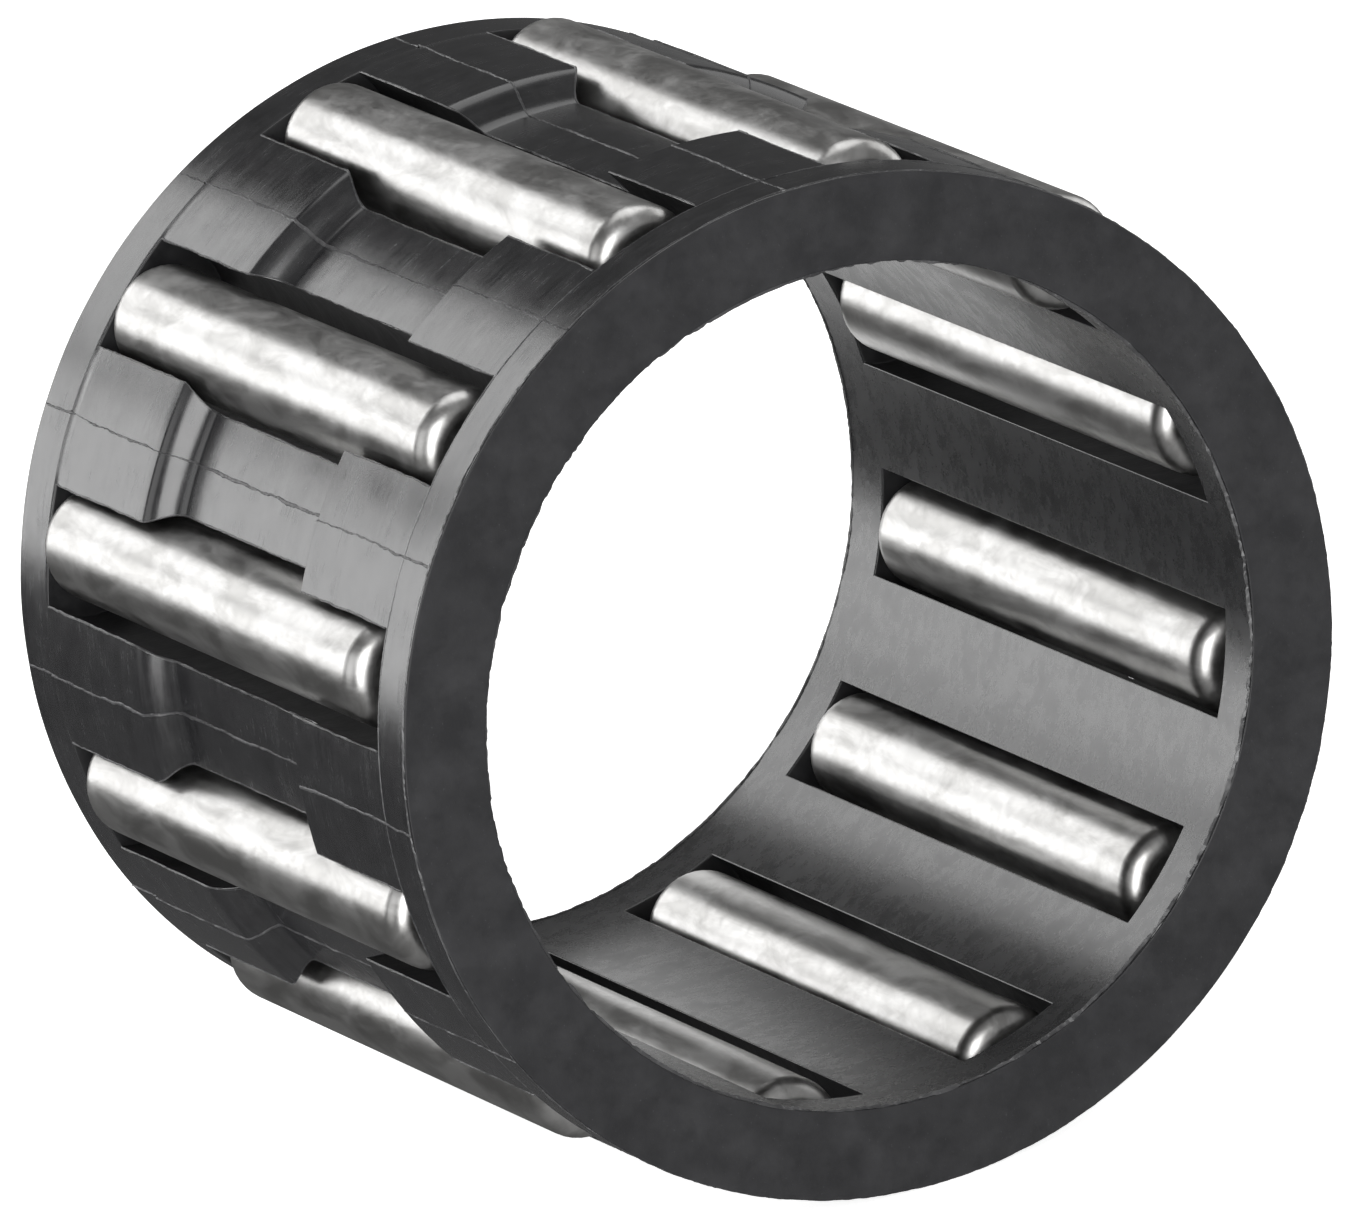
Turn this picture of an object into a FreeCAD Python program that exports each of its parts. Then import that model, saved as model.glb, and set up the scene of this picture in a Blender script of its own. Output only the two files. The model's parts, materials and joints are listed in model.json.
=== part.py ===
import FreeCAD, Part
import math
import os
import Sketcher

# Needle roller and cage assembly for a 14 mm shaft in an 18 mm housing.
#
# Frame: millimetres, origin at the middle of the bore, +Y along the bearing's axis from the
# front end face to the rear one, +Z up.  Angles round the axis are counted from +Z towards +X.
# Twelve loose steel rollers lie in the twelve pockets of a cage moulded in one piece.  With no
# shaft or housing to hold them, they lie on the pockets' own circle, 0.07 mm further out than
# when they run, each a little way along and across its pocket.

ROLLER_COUNT = 12

# Driving dimensions: alias, value in mm or degrees, meaning.
DIMENSIONS = [
    ("shaft_dia", 14.0, "shaft that the rollers run on"),
    ("housing_dia", 18.0, "housing bore that the rollers run in"),
    ("roller_length", 11.8, "roller from end face to end face"),
    ("roller_corner", 0.38, "radius of the roller's rounded ends"),
    ("cage_width", 14.5, "cage from end face to end face"),
    ("cage_outer_dia", 17.7, "outside of the cage's rims and retaining tabs"),
    ("cage_inner_dia", 14.58, "bore of the cage"),
    ("rim_edge_break", 0.05, "chamfer on the rims' outer and inner edges"),
    ("pocket_dia", 2.5, "round pocket that a roller lies in"),
    ("pocket_circle_dia", 16.14, "circle through the pockets' centres"),
    ("front_rim_width", 1.0, "front end face to the pockets"),
    ("pocket_length", 12.35, "pocket from its front wall to its rear wall"),
    ("front_tab_end", 4.17, "front end face to the rear of the front tabs"),
    ("recess_dia", 16.7, "outside of the bars' thinner middle"),
    ("ramp_foot", 9.45, "front end face to where the ramp leaves the thin middle"),
    ("ramp_top", 10.1, "front end face to where the ramp reaches the rear tabs"),
    ("rear_band_start", 13.5, "front end face to the step of the rear rim"),
    ("rear_band_depth", 0.04, "how much the rear rim is smaller than the tabs, on the radius"),
    ("first_roller_angle", 15.0, "angle of the first roller from +Z, in degrees"),
]

# How far each roller lies behind the middle of the cage, in mm: its pocket leaves it loose.
ROLLER_REST_SHIFT = [0.12, 0.16, 0.09, 0.13, 0.16, 0.10, 0.14, 0.16, 0.08, 0.15, 0.11, 0.14]

# How far round the ring each roller lies from the middle of its pocket, in degrees.
ROLLER_REST_TURN = [0.2, -0.3, -0.4, 0.85, -0.85, -0.4, 0.3, -0.2, 0.3, 0.85, -0.85, 0.3]


def make_sheet(doc):
    """The spreadsheet of driving dimensions, one aliased cell each."""
    sheet = doc.addObject("Spreadsheet::Sheet", "Dimensions")
    for row, (alias, value, meaning) in enumerate(DIMENSIONS, start=1):
        sheet.set(f"A{row}", alias)
        sheet.set(f"B{row}", str(value))
        sheet.set(f"C{row}", meaning)
        sheet.setAlias(f"B{row}", alias)
    doc.recompute()
    return sheet


def origin_feature(body, role):
    """One of the body's own origin planes or axes, by its role."""
    for feature in body.Origin.OriginFeatures:
        if feature.Role == role:
            return feature
    raise ValueError(f"{body.Label} has no {role}")


def new_sketch(body, name, plane_role):
    """An empty sketch on one of the body's origin planes."""
    sketch = body.newObject("Sketcher::SketchObject", name)
    sketch.AttachmentSupport = [(origin_feature(body, plane_role), "")]
    sketch.MapMode = "FlatFace"
    return sketch


def bind_point(sketch, element, point, corner):
    """Fix one point of a sketch element at a corner: its rough place, then two expressions."""
    x_start, y_start, x_expression, y_expression = corner
    for kind, start, expression in (("DistanceX", x_start, x_expression),
                                    ("DistanceY", y_start, y_expression)):
        number = sketch.addConstraint(Sketcher.Constraint(kind, -1, 1, element, point, start))
        sketch.setExpression(f"Constraints[{number}]", expression)


def cage_corners(sheet):
    """Corners of the cage's half section, from the front end of the bore round to the same end.

    Each is a rough place (radius, along) followed by the two expressions that fix it.
    """
    front = -sheet.cage_width / 2
    bore = sheet.cage_inner_dia / 2
    outside = sheet.cage_outer_dia / 2
    recess = sheet.recess_dia / 2
    band = outside - sheet.rear_band_depth
    edge = sheet.rim_edge_break

    front_text = "-Dimensions.cage_width / 2"
    rear_text = "Dimensions.cage_width / 2"
    bore_text = "Dimensions.cage_inner_dia / 2"
    outside_text = "Dimensions.cage_outer_dia / 2"
    recess_text = "Dimensions.recess_dia / 2"
    band_text = outside_text + " - Dimensions.rear_band_depth"
    more = " + Dimensions.rim_edge_break"
    less = " - Dimensions.rim_edge_break"

    def behind(alias):
        return front_text + f" + Dimensions.{alias}"

    before_ramp = [
        (bore + edge, front, bore_text + more, front_text),
        (outside - edge, front, outside_text + less, front_text),
        (outside, front + edge, outside_text, front_text + more),
        (outside, front + sheet.front_tab_end, outside_text, behind("front_tab_end")),
        (recess, front + sheet.front_tab_end, recess_text, behind("front_tab_end")),
        (recess, front + sheet.ramp_foot, recess_text, behind("ramp_foot")),
    ]
    after_ramp = [
        (outside, front + sheet.ramp_top, outside_text, behind("ramp_top")),
        (outside, front + sheet.rear_band_start, outside_text, behind("rear_band_start")),
        (band, front + sheet.rear_band_start, band_text, behind("rear_band_start")),
        (band, -front - edge, band_text, rear_text + less),
        (band - edge, -front, band_text + less, rear_text),
        (bore + edge, -front, bore_text + more, rear_text),
        (bore, -front - edge, bore_text, rear_text + less),
        (bore, front + edge, bore_text, front_text + more),
    ]
    return before_ramp, after_ramp


def draw_chain(sketch, corners):
    """Straight sides from corner to corner, joined end to end; returns their numbers."""
    sides = []
    for here, there in zip(corners, corners[1:]):
        start = FreeCAD.Vector(here[0], here[1], 0)
        end = FreeCAD.Vector(there[0], there[1], 0)
        sides.append(sketch.addGeometry(Part.LineSegment(start, end), False))
    for side, following in zip(sides, sides[1:]):
        sketch.addConstraint(Sketcher.Constraint("Coincident", side, 2, following, 1))
    for side, corner in zip(sides, corners):
        bind_point(sketch, side, 1, corner)
    return sides


def draw_ramp(sketch, foot, top, side_before, side_after):
    """The ramp: an S of two equal arcs, tangent to the sides before and after it."""
    rise = top[0] - foot[0]
    run = top[1] - foot[1]
    arc_radius = (rise ** 2 + run ** 2) / (4 * rise)
    turn = 2 * math.atan(rise / run)
    normal = FreeCAD.Vector(0, 0, 1)
    foot_circle = Part.Circle(FreeCAD.Vector(foot[0] + arc_radius, foot[1], 0), normal, arc_radius)
    top_circle = Part.Circle(FreeCAD.Vector(top[0] - arc_radius, top[1], 0), normal, arc_radius)
    foot_arc = sketch.addGeometry(Part.ArcOfCircle(foot_circle, math.pi - turn, math.pi), False)
    top_arc = sketch.addGeometry(Part.ArcOfCircle(top_circle, -turn, 0), False)
    sketch.addConstraint(Sketcher.Constraint("Tangent", side_before, 2, foot_arc, 2))
    sketch.addConstraint(Sketcher.Constraint("Tangent", foot_arc, 1, top_arc, 1))
    sketch.addConstraint(Sketcher.Constraint("Tangent", top_arc, 2, side_after, 1))
    sketch.addConstraint(Sketcher.Constraint("Equal", foot_arc, top_arc))


def draw_cage_profile(sketch, sheet):
    """The closed half section of the cage: x is the radius and y the place along the axis."""
    before_ramp, after_ramp = cage_corners(sheet)
    after_ramp.append(before_ramp[0])
    sides_before = draw_chain(sketch, before_ramp)
    sides_after = draw_chain(sketch, after_ramp)
    foot = before_ramp[-1]
    bind_point(sketch, sides_before[-1], 2, foot)
    sketch.addConstraint(
        Sketcher.Constraint("Coincident", sides_after[-1], 2, sides_before[0], 1))
    draw_ramp(sketch, foot, after_ramp[0], sides_before[-1], sides_after[0])


def draw_pocket_circle(sketch, sheet):
    """The first pocket's circle, drawn in the plane of the pockets' front walls."""
    sketch.setExpression(
        "AttachmentOffset.Base.z", "Dimensions.cage_width / 2 - Dimensions.front_rim_width")
    reach = sheet.pocket_circle_dia / 2
    angle = math.radians(sheet.first_roller_angle)
    centre = FreeCAD.Vector(reach * math.sin(angle), reach * math.cos(angle), 0)
    normal = FreeCAD.Vector(0, 0, 1)
    circle = sketch.addGeometry(Part.Circle(centre, normal, sheet.pocket_dia / 2), False)
    reach_text = "Dimensions.pocket_circle_dia / 2"
    angle_text = "Dimensions.first_roller_angle * 1 deg"
    across_text = f"{reach_text} * sin({angle_text})"
    up_text = f"{reach_text} * cos({angle_text})"
    bind_point(sketch, circle, 3, (centre.x, centre.y, across_text, up_text))
    size = sketch.addConstraint(Sketcher.Constraint("Diameter", circle, sheet.pocket_dia))
    sketch.setExpression(f"Constraints[{size}]", "Dimensions.pocket_dia")


def make_cage(doc, sheet):
    """The moulded cage: a turned ring, then twelve round pockets cut round its axis."""
    body = doc.addObject("PartDesign::Body", "Cage")
    body.Label = "cage"

    profile = new_sketch(body, "CageProfile", "XY_Plane")
    draw_cage_profile(profile, sheet)
    ring = body.newObject("PartDesign::Revolution", "CageRing")
    ring.Profile = profile
    ring.ReferenceAxis = (profile, ["V_Axis"])
    ring.Angle = 360.0
    doc.recompute()

    # The XZ plane's normal points to -Y, so a pocket from it cuts along +Y.
    circle = new_sketch(body, "PocketCircle", "XZ_Plane")
    draw_pocket_circle(circle, sheet)
    pocket = body.newObject("PartDesign::Pocket", "FirstPocket")
    pocket.Profile = circle
    pocket.setExpression("Length", "Dimensions.pocket_length")
    doc.recompute()
    volume_cut = ring.Shape.Volume - pocket.Shape.Volume
    if volume_cut < 1.0:
        raise RuntimeError(f"the first pocket removed only {volume_cut:.3f} mm3")

    pockets = body.newObject("PartDesign::PolarPattern", "Pockets")
    pockets.Originals = [pocket]
    pockets.Axis = (origin_feature(body, "Y_Axis"), [""])
    pockets.Angle = 360.0
    pockets.Occurrences = ROLLER_COUNT
    body.Tip = pockets
    doc.recompute()
    expected = ring.Shape.Volume - ROLLER_COUNT * volume_cut
    if abs(body.Shape.Volume - expected) > 0.01 * expected:
        raise RuntimeError(f"cage volume {body.Shape.Volume:.2f}, expected {expected:.2f}")
    return body


def end_edges(shape):
    """Names of the edges that are full circles."""
    names = []
    for number, edge in enumerate(shape.Edges, start=1):
        if isinstance(edge.Curve, Part.Circle):
            names.append(f"Edge{number}")
    return names


def make_roller(doc, sheet, index):
    """One steel roller with rounded ends, lying along Y in its own pocket."""
    number = f"{index + 1:02d}"
    body = doc.addObject("PartDesign::Body", f"Roller{number}")
    body.Label = f"roller_{number}"

    sketch = new_sketch(body, f"RollerCircle{number}", "XZ_Plane")
    sketch.setExpression("AttachmentOffset.Base.z", "Dimensions.roller_length / 2")
    roller_dia = (sheet.housing_dia - sheet.shaft_dia) / 2
    centre = FreeCAD.Vector(0, 0, 0)
    normal = FreeCAD.Vector(0, 0, 1)
    circle = sketch.addGeometry(Part.Circle(centre, normal, roller_dia / 2), False)
    sketch.addConstraint(Sketcher.Constraint("Coincident", circle, 3, -1, 1))
    size = sketch.addConstraint(Sketcher.Constraint("Diameter", circle, roller_dia))
    sketch.setExpression(
        f"Constraints[{size}]", "(Dimensions.housing_dia - Dimensions.shaft_dia) / 2")

    blank = body.newObject("PartDesign::Pad", f"RollerBlank{number}")
    blank.Profile = sketch
    blank.Reversed = True
    blank.setExpression("Length", "Dimensions.roller_length")
    doc.recompute()
    ends = body.newObject("PartDesign::Fillet", f"RollerEnds{number}")
    ends.Base = (blank, end_edges(blank.Shape))
    ends.setExpression("Radius", "Dimensions.roller_corner")

    pocket_angle = f"Dimensions.first_roller_angle + {index} * 360 / {ROLLER_COUNT}"
    turn = f"({pocket_angle} + {ROLLER_REST_TURN[index]}) * 1 deg"
    reach = "Dimensions.pocket_circle_dia / 2"
    body.setExpression("Placement.Base.x", f"{reach} * sin({turn})")
    body.setExpression("Placement.Base.y", str(ROLLER_REST_SHIFT[index]))
    body.setExpression("Placement.Base.z", f"{reach} * cos({turn})")
    return body


def check_document(doc, subparts):
    """Stop on any failed feature, and on any sub-part that isn't one valid solid."""
    for thing in doc.Objects:
        if "Invalid" in thing.State or "Error" in thing.State:
            raise RuntimeError(f"{thing.Name} failed: {thing.State}")
    for body in subparts:
        shape = body.Shape
        if shape.isNull() or not shape.isValid() or len(shape.Solids) != 1:
            raise RuntimeError(f"{body.Label} is not one valid solid")


def main():
    doc = FreeCAD.newDocument("NeedleRollerBearing")
    sheet = make_sheet(doc)
    subparts = [make_cage(doc, sheet)]
    for index in range(ROLLER_COUNT):
        subparts.append(make_roller(doc, sheet, index))
    doc.recompute()
    check_document(doc, subparts)
    os.makedirs("parts", exist_ok=True)
    for body in subparts:
        body.Shape.exportStep(f"parts/{body.Label}.step")
        box = body.Shape.BoundBox
        print(f"{body.Label}: {body.Shape.Volume:.2f} mm3, y {box.YMin:.2f} to {box.YMax:.2f}")


main()
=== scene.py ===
import json
import math
import random

import bmesh
import bpy
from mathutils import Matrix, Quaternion, Vector, noise


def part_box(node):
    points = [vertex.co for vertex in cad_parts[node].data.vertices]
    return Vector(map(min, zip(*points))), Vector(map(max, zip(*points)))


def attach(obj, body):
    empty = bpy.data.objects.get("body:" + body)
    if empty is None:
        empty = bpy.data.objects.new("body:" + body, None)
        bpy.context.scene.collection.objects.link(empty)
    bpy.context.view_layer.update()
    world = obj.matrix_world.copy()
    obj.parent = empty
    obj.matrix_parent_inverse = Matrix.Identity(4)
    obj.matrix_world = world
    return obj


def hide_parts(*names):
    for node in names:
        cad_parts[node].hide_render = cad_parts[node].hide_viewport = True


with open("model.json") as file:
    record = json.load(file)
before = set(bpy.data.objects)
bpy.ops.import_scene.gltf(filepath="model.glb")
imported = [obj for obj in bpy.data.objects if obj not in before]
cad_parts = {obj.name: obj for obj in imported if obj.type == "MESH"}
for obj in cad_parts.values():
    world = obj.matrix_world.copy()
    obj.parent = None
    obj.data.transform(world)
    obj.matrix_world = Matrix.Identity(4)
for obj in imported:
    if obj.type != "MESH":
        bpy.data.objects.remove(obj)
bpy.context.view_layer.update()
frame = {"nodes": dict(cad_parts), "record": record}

# Everything is in metres in the row frame: +Y runs along the bearing's axis from the front face
# to the rear face, +Z is up.  Angles round the axis are counted from +Z towards +X.
MM = 0.001

# ---------------------------------------------------------------------------------------------
# The cage's driving values, as in the CAD, and what follows from them.
# ---------------------------------------------------------------------------------------------
ROLLERS = sorted(name for name in frame["nodes"] if name.startswith("roller_"))
ROLLER_COUNT = len(ROLLERS)
STEP_ANGLE = 2 * math.pi / ROLLER_COUNT

cage_low, cage_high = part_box("cage")
OUTER_RADIUS = cage_high.x
FRONT, REAR = cage_low.y, cage_high.y
BORE_RADIUS = next(m["dims"]["r_mm"] for m in frame["record"]["mounts"]
                   if m["name"] == "shaft_bore") * MM
RECESS_RADIUS = 8.35 * MM
BAND_RADIUS = OUTER_RADIUS - 0.04 * MM
TAB_END = FRONT + 4.17 * MM
RAMP_FOOT = FRONT + 9.45 * MM
RAMP_TOP = FRONT + 10.1 * MM
BAND_START = FRONT + 13.5 * MM
POCKET_FRONT = FRONT + 1.0 * MM
POCKET_REAR = POCKET_FRONT + 12.35 * MM
POCKET_RADIUS = 1.25 * MM
POCKET_CIRCLE = 8.07 * MM

# The moulded skin lies a hair inside the turned size, so that its flash ends at that size.
SKIN_INSET = 0.022 * MM
FACE_INSET = 0.008 * MM


def outer_radius(y):
    """Radius of the bars' outer skin at a place along the axis."""
    if y <= TAB_END:
        return OUTER_RADIUS - SKIN_INSET
    if y <= RAMP_FOOT:
        return RECESS_RADIUS - SKIN_INSET
    if y >= BAND_START:
        return BAND_RADIUS - SKIN_INSET
    if y >= RAMP_TOP:
        return OUTER_RADIUS - SKIN_INSET
    along = (y - RAMP_FOOT) / (RAMP_TOP - RAMP_FOOT)
    lift = 2 * along * along if along < 0.5 else 1 - 2 * (1 - along) ** 2
    return RECESS_RADIUS - SKIN_INSET + lift * (OUTER_RADIUS - RECESS_RADIUS)


def pocket_edge_angle(radius):
    """Angle from a pocket's middle to its edge, on the surface of that radius."""
    cosine = (radius ** 2 + POCKET_CIRCLE ** 2 - POCKET_RADIUS ** 2) / (2 * radius * POCKET_CIRCLE)
    return math.acos(cosine)


def half_bar_angle(radius):
    """Angle from a bar's middle to its edge, on the surface of that radius."""
    return STEP_ANGLE / 2 - pocket_edge_angle(radius)


def radial(angle):
    """The direction away from the axis at that angle."""
    return Vector((math.sin(angle), 0, math.cos(angle)))


def place(radius, angle, y):
    """The point at that radius and angle, and that place along the axis."""
    return Vector((radius * math.sin(angle), y, radius * math.cos(angle)))


# ---------------------------------------------------------------------------------------------
# Materials
# ---------------------------------------------------------------------------------------------
POLYAMIDE_IOR = 1.6
MOTTLE_GRAINS = 3.0
STEEL_DARK = (0.42, 0.415, 0.405)
STEEL_LIGHT = (0.66, 0.655, 0.645)
STEEL_ROUGHNESS = (0.28, 0.40)
CLOUD_HEIGHT = 0.0017 * MM
SCUFF_HEIGHT = 0.0004 * MM
STREAK_HEIGHT = 0.0006 * MM


class Nodes:
    """A material's node tree, with short calls for the nodes used here."""

    def __init__(self, name):
        self.material = bpy.data.materials.new(name)
        self.material.use_nodes = True
        self.tree = self.material.node_tree
        self.shader = self.tree.nodes["Principled BSDF"]

    def add(self, kind, **settings):
        """A new node; a setting is a socket's value if it has one of that name."""
        node = self.tree.nodes.new(kind)
        for key, value in settings.items():
            if key in node.inputs:
                node.inputs[key].default_value = value
            else:
                setattr(node, key, value)
        return node

    def link(self, out, into):
        self.tree.links.new(out, into)

    def millimetres(self, stretch=(1, 1, 1)):
        """The object's own coordinates in millimetres, times a stretch along each axis."""
        coordinates = self.add("ShaderNodeTexCoord")
        mapping = self.add("ShaderNodeMapping")
        mapping.inputs["Scale"].default_value = [s / MM for s in stretch]
        self.link(coordinates.outputs["Object"], mapping.inputs["Vector"])
        return mapping.outputs["Vector"]

    def noise(self, vector, scale, detail, roughness, distortion=0.0):
        """Noise between 0 and 1 whose features are about 1 / scale millimetres across."""
        node = self.add("ShaderNodeTexNoise", Scale=scale, Detail=detail,
                        Roughness=roughness, Distortion=distortion)
        self.link(vector, node.inputs["Vector"])
        return node.outputs["Fac"]

    def spread(self, value, low, high, to_low, to_high):
        """A value from low to high becomes one from to_low to to_high, held at both ends."""
        node = self.add("ShaderNodeMapRange")
        for key, number in (("From Min", low), ("From Max", high),
                            ("To Min", to_low), ("To Max", to_high)):
            node.inputs[key].default_value = number
        self.link(value, node.inputs["Value"])
        return node.outputs["Result"]

    def sum(self, first, second):
        node = self.add("ShaderNodeMath", operation="ADD")
        self.link(first, node.inputs[0])
        self.link(second, node.inputs[1])
        return node.outputs["Value"]

    def colours(self, value, dark, light):
        """A colour that goes from dark to light as the value goes from 0 to 1."""
        node = self.add("ShaderNodeMix", data_type="RGBA")
        self.link(value, node.inputs["Factor"])
        node.inputs["A"].default_value = (*dark, 1)
        node.inputs["B"].default_value = (*light, 1)
        return node.outputs["Result"]

    def bump(self, height, distance, after=None):
        """A normal bumped by a height of 0 to 1 times that distance, on top of another bump."""
        node = self.add("ShaderNodeBump", Distance=distance, Strength=1.0)
        self.link(height, node.inputs["Height"])
        if after is not None:
            self.link(after, node.inputs["Normal"])
        return node.outputs["Normal"]


def polymer(name, dark, light, roughness, grain, turning, specular, speck=0.78,
            mark_stretch=(0.45, 8.0, 0.45)):
    """Black glass-filled polyamide: mottled skin, fine marks round the axis, pale fibre specks.

    Grain and turning are the bump heights of the fine grain and of the marks, in millimetres.
    Speck is the noise level above which a fibre shows: the lower it is, the more of them.
    """
    nodes = Nodes(name)
    plain = nodes.millimetres()
    round_axis = nodes.millimetres(mark_stretch)
    mottle = nodes.noise(plain, scale=1.6, detail=6.0, roughness=0.68)
    fine = nodes.noise(plain, scale=16.0, detail=3.0, roughness=0.7)
    marks = nodes.noise(round_axis, scale=2.0, detail=5.0, roughness=0.75)
    fibres = nodes.noise(plain, scale=20.0, detail=1.0, roughness=0.5)
    specks = nodes.spread(fibres, speck, speck + 0.05, 0.0, 1.0)
    mottle_and_marks = nodes.sum(mottle, marks)

    shade = nodes.spread(mottle_and_marks, 0.8, 1.3, 0.0, 0.6)
    colour = nodes.colours(nodes.sum(shade, specks), dark, light)
    nodes.link(colour, nodes.shader.inputs["Base Color"])
    rough = nodes.spread(mottle_and_marks, 0.8, 1.25, *roughness)
    nodes.link(rough, nodes.shader.inputs["Roughness"])
    normal = nodes.bump(fine, grain * MM)
    normal = nodes.bump(marks, turning * MM, after=normal)
    normal = nodes.bump(mottle, MOTTLE_GRAINS * grain * MM, after=normal)
    nodes.link(normal, nodes.shader.inputs["Normal"])
    nodes.shader.inputs["IOR"].default_value = POLYAMIDE_IOR
    nodes.shader.inputs["Specular IOR Level"].default_value = specular
    return nodes.material


def steel(name):
    """Bearing steel, ground and then tumbled: bright, with faint clouds, streaks and scuffs."""
    nodes = Nodes(name)
    plain = nodes.millimetres()
    along_axis = nodes.millimetres((1.0, 0.35, 1.0))
    lengthwise = nodes.millimetres((1.0, 0.05, 1.0))
    clouds = nodes.noise(along_axis, scale=1.7, detail=4.0, roughness=0.55, distortion=0.6)
    streaks = nodes.noise(lengthwise, scale=6.0, detail=3.0, roughness=0.6)
    scuffs = nodes.noise(plain, scale=5.0, detail=4.0, roughness=0.65, distortion=1.0)

    tone = nodes.spread(clouds, 0.39, 0.61, 0.0, 1.0)
    colour = nodes.colours(tone, STEEL_DARK, STEEL_LIGHT)
    nodes.link(colour, nodes.shader.inputs["Base Color"])
    rough = nodes.spread(nodes.sum(clouds, scuffs), 0.75, 1.25, *STEEL_ROUGHNESS)
    nodes.link(rough, nodes.shader.inputs["Roughness"])
    normal = nodes.bump(clouds, CLOUD_HEIGHT)
    normal = nodes.bump(scuffs, SCUFF_HEIGHT, after=normal)
    normal = nodes.bump(streaks, STREAK_HEIGHT, after=normal)
    nodes.link(normal, nodes.shader.inputs["Normal"])
    nodes.shader.inputs["Metallic"].default_value = 1.0
    return nodes.material


SKIN = polymer("cage_outside", dark=(0.008, 0.008, 0.009), light=(0.032, 0.032, 0.034),
               roughness=(0.18, 0.29), grain=0.0006, turning=0.0005, specular=0.80)
BORE = polymer("cage_bore", dark=(0.006, 0.006, 0.007), light=(0.034, 0.034, 0.036),
               roughness=(0.24, 0.32), grain=0.0010, turning=0.0002, specular=0.75, speck=0.74,
               mark_stretch=(1.6, 2.2, 1.6))
END = polymer("cage_end_face", dark=(0.017, 0.017, 0.019), light=(0.040, 0.040, 0.043),
              roughness=(0.50, 0.62), grain=0.0016, turning=0.0, specular=0.4, speck=0.73)
WALL = polymer("cage_pocket", dark=(0.012, 0.012, 0.013), light=(0.040, 0.040, 0.042),
               roughness=(0.35, 0.55), grain=0.0012, turning=0.0010, specular=0.5)
FLASH = polymer("cage_flash", dark=(0.020, 0.020, 0.022), light=(0.120, 0.120, 0.123),
                roughness=(0.30, 0.50), grain=0.0010, turning=0.0, specular=0.85, speck=0.66)
CAGE_MATERIALS = [SKIN, BORE, END, WALL]
ON_SKIN, ON_BORE, ON_END, ON_WALL = range(4)

ROLLER_STEEL = steel("roller_steel_tumbled")
for roller in ROLLERS:
    frame["nodes"][roller].data.materials[0] = ROLLER_STEEL


# ---------------------------------------------------------------------------------------------
# The cage's moulding.  It is filled cells on a grid of rows along the axis, columns round it and
# levels out from the bore, and its skin is every side of a filled cell that has no neighbour.
# ---------------------------------------------------------------------------------------------
BAR_COLUMNS = 10
POCKET_COLUMNS = 8
SECTOR_COLUMNS = BAR_COLUMNS + POCKET_COLUMNS
COLUMNS = ROLLER_COUNT * SECTOR_COLUMNS
BODY_LEVELS = 5
TAB_LEVELS = 3
LEVELS = BODY_LEVELS + TAB_LEVELS
ROW_SPACING = 0.2 * MM
RAMP_SPACING = 0.05 * MM
STEP_RUN = 0.02 * MM
EDGE_ROUND = 0.035 * MM
SHARE_OF_ROOM = 0.45
SHARP_ANGLE = math.radians(35)
WELD_REACH = 0.0005 * MM
EDGE_WANDER = 0.02 * MM
SKIN_WANDER = 0.006 * MM

# A cell's sides: the step to the neighbour there, the side's corners, and its finish.  Steps and
# corners are counted round the axis, out from the bore and along the axis.
SIDES = [
    ((0, 1, 0), [(0, 1, 0), (0, 1, 1), (1, 1, 1), (1, 1, 0)], ON_SKIN),
    ((0, -1, 0), [(0, 0, 0), (1, 0, 0), (1, 0, 1), (0, 0, 1)], ON_BORE),
    ((1, 0, 0), [(1, 0, 0), (1, 1, 0), (1, 1, 1), (1, 0, 1)], ON_WALL),
    ((-1, 0, 0), [(0, 0, 0), (0, 0, 1), (0, 1, 1), (0, 1, 0)], ON_WALL),
    ((0, 0, -1), [(0, 0, 0), (0, 1, 0), (1, 1, 0), (1, 0, 0)], ON_WALL),
    ((0, 0, 1), [(0, 0, 1), (1, 0, 1), (1, 1, 1), (0, 1, 1)], ON_WALL),
]


def make_rows():
    """Places of the rows along the axis: every change of shape, and evenly between them."""
    changes = [FRONT + FACE_INSET, POCKET_FRONT, TAB_END, RAMP_FOOT, RAMP_TOP, POCKET_REAR,
               BAND_START, BAND_START + STEP_RUN, REAR - FACE_INSET]
    rows = [changes[0]]
    for here, there in zip(changes, changes[1:]):
        spacing = RAMP_SPACING if here == RAMP_FOOT else ROW_SPACING
        count = max(1, round((there - here) / spacing))
        rows += [here + (there - here) * step / count for step in range(1, count + 1)]
    return rows


def is_filled(column, level, middle):
    """Whether the cell in that column and level, whose middle is at that place, is polymer."""
    in_pocket = column % SECTOR_COLUMNS >= BAR_COLUMNS
    if in_pocket and POCKET_FRONT < middle < POCKET_REAR:
        return False
    return level < BODY_LEVELS or not TAB_END < middle < RAMP_FOOT


def uneven(angle, y, scale, seed):
    """A smooth uneven value between about -1 and 1 over the cage's skin, scale to a millimetre."""
    at = Vector((math.sin(angle) * OUTER_RADIUS, y, math.cos(angle) * OUTER_RADIUS)) * scale / MM
    return noise.noise(at + Vector((seed, 0, 0)))


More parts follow.
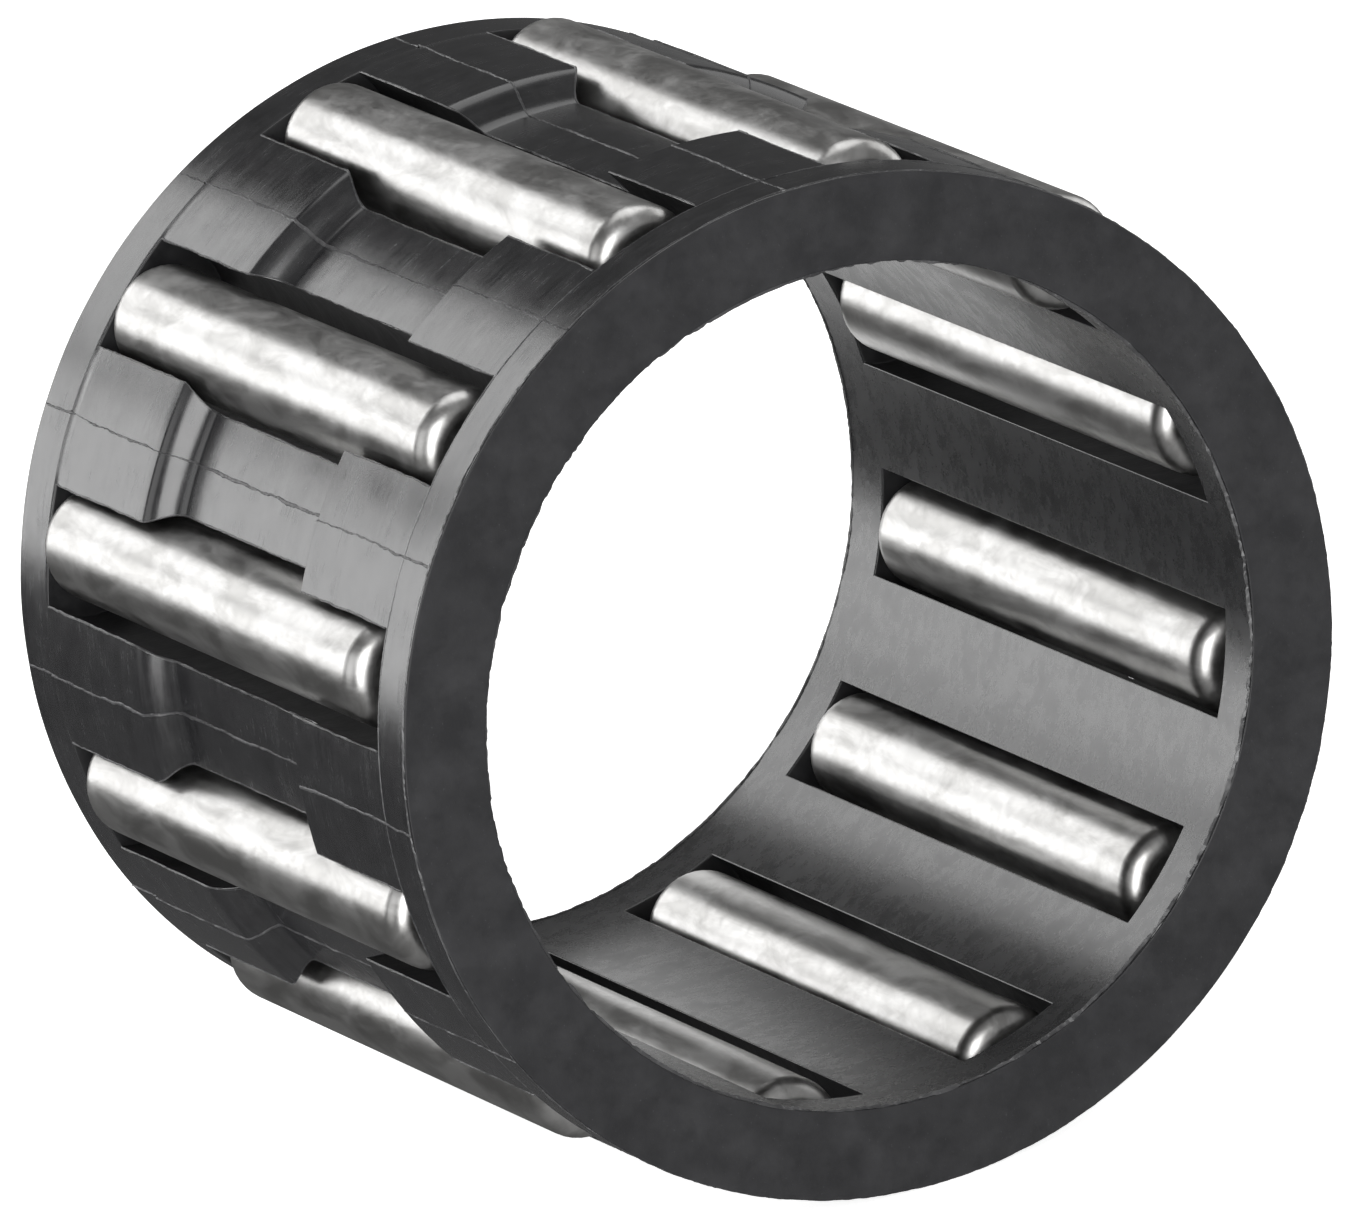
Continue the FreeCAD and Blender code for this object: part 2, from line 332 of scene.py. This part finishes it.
def skin_point(column, level, y):
    """Where a corner of the grid's cells lies."""
    outside = outer_radius(y)
    body_top = RECESS_RADIUS - SKIN_INSET
    if level <= BODY_LEVELS:
        radius = BORE_RADIUS + (body_top - BORE_RADIUS) * level / BODY_LEVELS
    else:
        radius = body_top + (outside - body_top) * (level - BODY_LEVELS) / TAB_LEVELS
    sector, inside = divmod(column, SECTOR_COLUMNS)
    if inside <= BAR_COLUMNS:
        across = 2 * inside / BAR_COLUMNS - 1
        angle = sector * STEP_ANGLE + across * half_bar_angle(radius)
    else:
        across = 2 * (inside - BAR_COLUMNS) / POCKET_COLUMNS - 1
        angle = (sector + 0.5) * STEP_ANGLE + across * pocket_edge_angle(radius)
    if level >= BODY_LEVELS:
        if inside in (0, BAR_COLUMNS):
            angle += EDGE_WANDER * uneven(angle, y, scale=2.5, seed=3.0) / radius
        radius += SKIN_WANDER * (uneven(angle, y, scale=0.9, seed=9.0) - 0.5)
    return place(radius, angle, y)


def make_cage():
    """The moulding's skin as one closed mesh of four-sided faces, with softened edges."""
    rows = make_rows()
    corners, numbers, faces, finishes = [], {}, [], []

    def corner(column, level, row):
        key = (column % COLUMNS, level, row)
        if key not in numbers:
            numbers[key] = len(corners)
            corners.append(skin_point(key[0], level, rows[row]))
        return numbers[key]

    def in_grid(row):
        return 0 <= row < len(rows) - 1

    def filled(column, level, row):
        if not (0 <= level < LEVELS and in_grid(row)):
            return False
        return is_filled(column % COLUMNS, level, (rows[row] + rows[row + 1]) / 2)

    cells = ((row, column, level) for row in range(len(rows) - 1)
             for column in range(COLUMNS) for level in range(LEVELS))
    for row, column, level in cells:
        if not filled(column, level, row):
            continue
        for (round_axis, out, along), loop, finish in SIDES:
            if filled(column + round_axis, level + out, row + along):
                continue
            faces.append([corner(column + i, level + j, row + k) for i, j, k in loop])
            finishes.append(finish if in_grid(row + along) else ON_END)

    mesh = bpy.data.meshes.new("cage_moulding")
    mesh.from_pydata([tuple(at) for at in corners], [], faces)
    for material in CAGE_MATERIALS:
        mesh.materials.append(material)
    for face, finish in zip(mesh.polygons, finishes):
        face.material_index = finish
        face.use_smooth = True
    soften(mesh)
    piece = bpy.data.objects.new("cage_moulding", mesh)
    bpy.context.scene.collection.objects.link(piece)
    rounding = piece.modifiers.new("rounding", "BEVEL")
    rounding.limit_method = "WEIGHT"
    rounding.width = EDGE_ROUND
    rounding.segments = 2
    rounding.use_clamp_overlap = False
    rounding.harden_normals = True
    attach(piece, "cage")
    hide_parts("cage")


def soften(mesh):
    """Weld the skin, and weigh its sharp edges for rounding by the room beside them."""
    shape = bmesh.new()
    shape.from_mesh(mesh)
    bmesh.ops.remove_doubles(shape, verts=shape.verts, dist=WELD_REACH)
    bmesh.ops.recalc_face_normals(shape, faces=shape.faces)
    weight = shape.edges.layers.float.new("bevel_weight_edge")
    for edge in shape.edges:
        if len(edge.link_faces) == 2 and edge.calc_face_angle(0.0) > SHARP_ANGLE:
            length = edge.calc_length()
            room = min(face.calc_area() / length for face in edge.link_faces)
            edge[weight] = min(1.0, SHARE_OF_ROOM * room / EDGE_ROUND)
    shape.to_mesh(mesh)
    shape.free()


make_cage()


# ---------------------------------------------------------------------------------------------
# Moulding flash: thin uneven ridges left where the halves and slides of the mould met.
# ---------------------------------------------------------------------------------------------
FLASH_HEIGHT = SKIN_INSET - 0.005 * MM
FLASH_SUNK = 0.012 * MM
USUAL_HEIGHT = 0.72
NARROWEST = 0.25
PARTING_WIDTH = 0.06 * MM
BURR_WIDTH = 0.035 * MM
BURR_INSET = 0.028 * MM
LONGEST_WANDER = 24
WANDER_GAIN = 1.8
STEEPEST_SLOPE = 1.5
OUTSIDE, INSIDE = 1, -1


def wander(count, reach, seed, rough):
    """A seeded wandering line of count values, most of them between -reach and reach.

    It is smooth waves, each half as long as the one before and rough times as high.
    """
    draw = random.Random(seed)
    values = [0.0] * count
    stride, amount, total = LONGEST_WANDER, 1.0, 0.0
    while stride >= 1:
        knots = [draw.uniform(-1, 1) for _ in range(count // stride + 3)]
        for i in range(count):
            j, t = divmod(i / stride, 1)
            t = t * t * (3 - 2 * t)
            values[i] += amount * (knots[int(j)] * (1 - t) + knots[int(j) + 1] * t)
        total += amount
        amount *= rough
        stride //= 2
    return [reach * v / total * WANDER_GAIN for v in values]


class Flash:
    """One piece of moulding flash: thin uneven ridges that lie on the cage's skin."""

    def __init__(self):
        self.corners = []
        self.faces = []

    def ridge(self, line, width, height, seed, gaps=0.0, closed=False):
        """A ridge along a line of (centre, outward normal, sideways direction).

        It shifts sideways and changes in width and height as it goes; gaps, from 0 to 1, is how
        far its height is lowered, so that it sinks into the skin in places.
        """
        count = len(line)
        shift = wander(count, reach=0.55 * width, seed=seed, rough=0.8)
        tall = wander(count, reach=0.9, seed=seed + 1, rough=0.95)
        wide = wander(count, reach=0.7, seed=seed + 2, rough=0.9)
        first = len(self.corners)
        for i, (centre, up, aside) in enumerate(line):
            middle = centre + aside * shift[i]
            h = height * min(1.0, max(0.0, USUAL_HEIGHT + tall[i] - gaps))
            w = 0.5 * width * max(NARROWEST, 1 + wide[i])
            self.corners += [middle - aside * w - up * FLASH_SUNK,
                             middle - aside * 0.4 * w + up * h,
                             middle + aside * 0.3 * w + up * h * 0.9,
                             middle + aside * w - up * FLASH_SUNK]
        spans = count if closed else count - 1
        for i in range(spans):
            a, b = first + 4 * i, first + 4 * ((i + 1) % count)
            for j in range(4):
                k = (j + 1) % 4
                self.faces.append((a + j, a + k, b + k, b + j))
        if not closed:
            last = first + 4 * (count - 1)
            self.faces.append((first + 3, first + 2, first + 1, first))
            self.faces.append((last, last + 1, last + 2, last + 3))

    def make(self, name):
        """The ridges as one closed mesh that rides on the cage."""
        mesh = bpy.data.meshes.new(name)
        mesh.from_pydata([tuple(at) for at in self.corners], [], self.faces)
        mesh.materials.append(FLASH)
        shape = bmesh.new()
        shape.from_mesh(mesh)
        bmesh.ops.recalc_face_normals(shape, faces=shape.faces)
        shape.to_mesh(mesh)
        shape.free()
        piece = bpy.data.objects.new(name, mesh)
        bpy.context.scene.collection.objects.link(piece)
        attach(piece, "cage")


def bar_line(angle_at, start, end, spacing=0.05 * MM):
    """A line along a bar's outer skin, at an angle that may change with the skin's radius."""
    count = round((end - start) / spacing)
    nudge = 0.01 * MM
    line = []
    for i in range(count + 1):
        y = start + (end - start) * i / count
        slope = (outer_radius(y + nudge) - outer_radius(y - nudge)) / (2 * nudge)
        tilt = math.atan(max(-STEEPEST_SLOPE, min(STEEPEST_SLOPE, slope)))
        radius = outer_radius(y)
        angle = angle_at(radius)
        up = radial(angle) * math.cos(tilt) - Vector((0, 1, 0)) * math.sin(tilt)
        aside = Vector((math.cos(angle), 0, -math.sin(angle)))
        line.append((place(radius, angle, y), up, aside))
    return line


def ring_line(radius, y, side, spacing=0.07 * MM):
    """A closed line round the axis, on the OUTSIDE or the INSIDE of the cage."""
    count = round(2 * math.pi * radius / spacing)
    line = []
    for i in range(count):
        angle = 2 * math.pi * i / count
        line.append((place(radius, angle, y), radial(angle) * side, Vector((0, 1, 0))))
    return line


def make_bar_flash(bar):
    """The mould's parting line down the middle of a bar, and burrs along its two edges."""
    middle = bar * STEP_ANGLE
    flash = Flash()
    parting = bar_line(lambda radius: middle, FRONT + 0.06 * MM, REAR - 0.06 * MM)
    flash.ridge(parting, PARTING_WIDTH, FLASH_HEIGHT, seed=100 + 10 * bar)
    for turn in (-1, 1):
        edge = bar_line(
            lambda radius: middle + turn * (half_bar_angle(radius) - BURR_INSET / radius),
            POCKET_FRONT + 0.03 * MM, POCKET_REAR - 0.03 * MM)
        flash.ridge(edge, BURR_WIDTH, 0.7 * FLASH_HEIGHT, seed=104 + 10 * bar + turn, gaps=0.15)
    flash.make(f"flash_bar_{bar + 1:02d}")


def make_ring_flash(name, radius, y, side, width, height, seed, gaps=0.0):
    """A burr all the way round the axis."""
    flash = Flash()
    flash.ridge(ring_line(radius, y, side), width, height, seed, gaps, closed=True)
    flash.make(name)


def make_rim_flash():
    """Burrs round the rims' edges and the line of the pockets' front walls."""
    rim_radius = outer_radius(FRONT)
    make_ring_flash("flash_front_edge", rim_radius, FRONT + 0.07 * MM, OUTSIDE,
                    width=0.05 * MM, height=FLASH_HEIGHT, seed=300, gaps=0.2)
    make_ring_flash("flash_front_bore", BORE_RADIUS, FRONT + 0.085 * MM, INSIDE,
                    width=0.07 * MM, height=0.055 * MM, seed=310)
    make_ring_flash("flash_pocket_line", rim_radius, POCKET_FRONT - 0.03 * MM, OUTSIDE,
                    width=0.03 * MM, height=0.5 * FLASH_HEIGHT, seed=320, gaps=0.25)
    make_ring_flash("flash_rear_bore", BORE_RADIUS, REAR - 0.07 * MM, INSIDE,
                    width=0.05 * MM, height=0.03 * MM, seed=330)


for bar_number in range(ROLLER_COUNT):
    make_bar_flash(bar_number)
make_rim_flash()


# ---------------------------------------------------------------------------------------------
# Floor, light and camera
# ---------------------------------------------------------------------------------------------
SURROUND_FRONT = 0.30
SURROUND_REAR = 0.09
SURROUND_SEEN = 1.0
FLOOR_HALF = 1.5
FLOOR_GLOW = 0.85
PANEL_DISTANCE = 0.35
CAMERA_AZIMUTH = math.radians(-25.056)
CAMERA_ELEVATION = math.radians(17.533)
CAMERA_ROLL = math.radians(9.813)
CAMERA_DISTANCE = 0.5099
CAMERA_ASIDE = 0.048 * MM
CAMERA_BELOW = 0.104 * MM
CAMERA_LENS = 800
CAMERA_SENSOR = 36


def camera_back():
    """The direction from the bearing to the camera."""
    return Vector((math.sin(CAMERA_AZIMUTH) * math.cos(CAMERA_ELEVATION),
                   -math.cos(CAMERA_AZIMUTH) * math.cos(CAMERA_ELEVATION),
                   math.sin(CAMERA_ELEVATION)))


def make_floor():
    """A plain pale floor that the cage's rims stand on."""
    half = FLOOR_HALF
    mesh = bpy.data.meshes.new("floor")
    level = cage_low.z
    mesh.from_pydata([(-half, -half, level), (half, -half, level),
                      (half, half, level), (-half, half, level)], [], [(0, 1, 2, 3)])
    floor = bpy.data.objects.new("floor", mesh)
    bpy.context.scene.collection.objects.link(floor)
    nodes = Nodes("floor_paper")
    nodes.shader.inputs["Base Color"].default_value = (0.86, 0.86, 0.86, 1)
    nodes.shader.inputs["Roughness"].default_value = 0.9
    nodes.shader.inputs["Emission Color"].default_value = (1, 1, 1, 1)
    nodes.shader.inputs["Emission Strength"].default_value = FLOOR_GLOW
    mesh.materials.append(nodes.material)
    floor.visible_glossy = False


def mirrored(facing):
    """Where the light comes from that a side facing that angle, in degrees, mirrors to the camera.

    It is given as the direction and the tilt of a panel that lies along that side.
    """
    back = camera_back()
    normal = radial(math.radians(facing))
    direction = 2 * normal.dot(back) * normal - back
    return direction, math.atan2(direction.x, direction.z)


def panel(name, direction, turn=0.0, *, width, height, radiance, distance=PANEL_DISTANCE):
    """A soft rectangular light that faces the bearing from a direction, turned about it."""
    light = bpy.data.lights.new(name, "AREA")
    light.shape = "RECTANGLE"
    light.size = width
    light.size_y = height
    light.energy = radiance * math.pi * width * height
    lamp = bpy.data.objects.new(name, light)
    bpy.context.scene.collection.objects.link(lamp)
    towards = Vector(direction).normalized()
    lamp.location = towards * distance
    level = towards.to_track_quat("Z", "Y")
    lamp.rotation_euler = (level @ Quaternion((0, 0, 1), turn)).to_euler()
    lamp.visible_camera = False


def make_panels():
    """The studio's lights."""
    # The bearing's sides mirror these three: the bright bands along the rollers and the bars.
    panel("key_low", *mirrored(-65.8), width=0.130, height=0.15, radiance=2.7)
    panel("key_high", *mirrored(-42), width=0.135, height=0.15, radiance=2.35)
    panel("right", *mirrored(28), width=0.12, height=0.16, radiance=0.09)
    # At the front left, for the rollers' ends and the far side of the bore.
    panel("side", (-0.57, -0.78, 0.26), width=0.22, height=0.34, radiance=4.0)
    # Small and close behind the bearing, for the shine in its bore.
    panel("card", (7.3, 13.5, -4.0), width=0.006, height=0.006, radiance=1.0, distance=0.0159)
    # Weaker ones for the top and the two sides.
    panel("fill_top", (0.25, 0.30, 0.92), width=0.30, height=0.30, radiance=1.3)
    panel("fill_right", (0.94, 0.05, 0.34), width=0.26, height=0.30, radiance=1.2)
    panel("fill_left", (-0.94, 0.15, 0.25), width=0.26, height=0.26, radiance=0.9)


def make_world():
    """A dim surround, brighter on the front side, and pale where the camera sees it."""
    world = bpy.data.worlds.new("surround")
    world.use_nodes = True
    tree = world.node_tree
    background = tree.nodes["Background"]
    direction = tree.nodes.new("ShaderNodeTexCoord")
    parts = tree.nodes.new("ShaderNodeSeparateXYZ")
    front_to_rear = tree.nodes.new("ShaderNodeMapRange")
    front_to_rear.inputs["From Min"].default_value = -1.0
    front_to_rear.inputs["From Max"].default_value = 1.0
    front_to_rear.inputs["To Min"].default_value = SURROUND_FRONT
    front_to_rear.inputs["To Max"].default_value = SURROUND_REAR
    path = tree.nodes.new("ShaderNodeLightPath")
    shade = tree.nodes.new("ShaderNodeMix")
    shade.inputs["B"].default_value = SURROUND_SEEN
    tree.links.new(direction.outputs["Generated"], parts.inputs["Vector"])
    tree.links.new(parts.outputs["Y"], front_to_rear.inputs["Value"])
    tree.links.new(path.outputs["Is Camera Ray"], shade.inputs["Factor"])
    tree.links.new(front_to_rear.outputs["Result"], shade.inputs["A"])
    tree.links.new(shade.outputs["Result"], background.inputs["Strength"])
    background.inputs["Color"].default_value = (1, 1, 1, 1)
    bpy.context.scene.world = world


def make_camera():
    """A long lens from the front, left and above, rolled a little."""
    back = camera_back()
    level_right = Vector((math.cos(CAMERA_AZIMUTH), math.sin(CAMERA_AZIMUTH), 0))
    level_up = back.cross(level_right)
    right = level_right * math.cos(CAMERA_ROLL) - level_up * math.sin(CAMERA_ROLL)
    up = back.cross(right)
    data = bpy.data.cameras.new("camera")
    data.lens = CAMERA_LENS
    data.sensor_width = CAMERA_SENSOR
    data.clip_start = 0.01
    data.clip_end = 10
    camera = bpy.data.objects.new("camera", data)
    bpy.context.scene.collection.objects.link(camera)
    where = back * CAMERA_DISTANCE + right * CAMERA_ASIDE - up * CAMERA_BELOW
    matrix = camera.matrix_world
    for column, axis in enumerate((right, up, back, where)):
        for row in range(3):
            matrix[row][column] = axis[row]
    camera.matrix_world = matrix
    bpy.context.scene.camera = camera


make_floor()
make_panels()
make_world()
make_camera()
bpy.context.scene.view_settings.view_transform = "Standard"
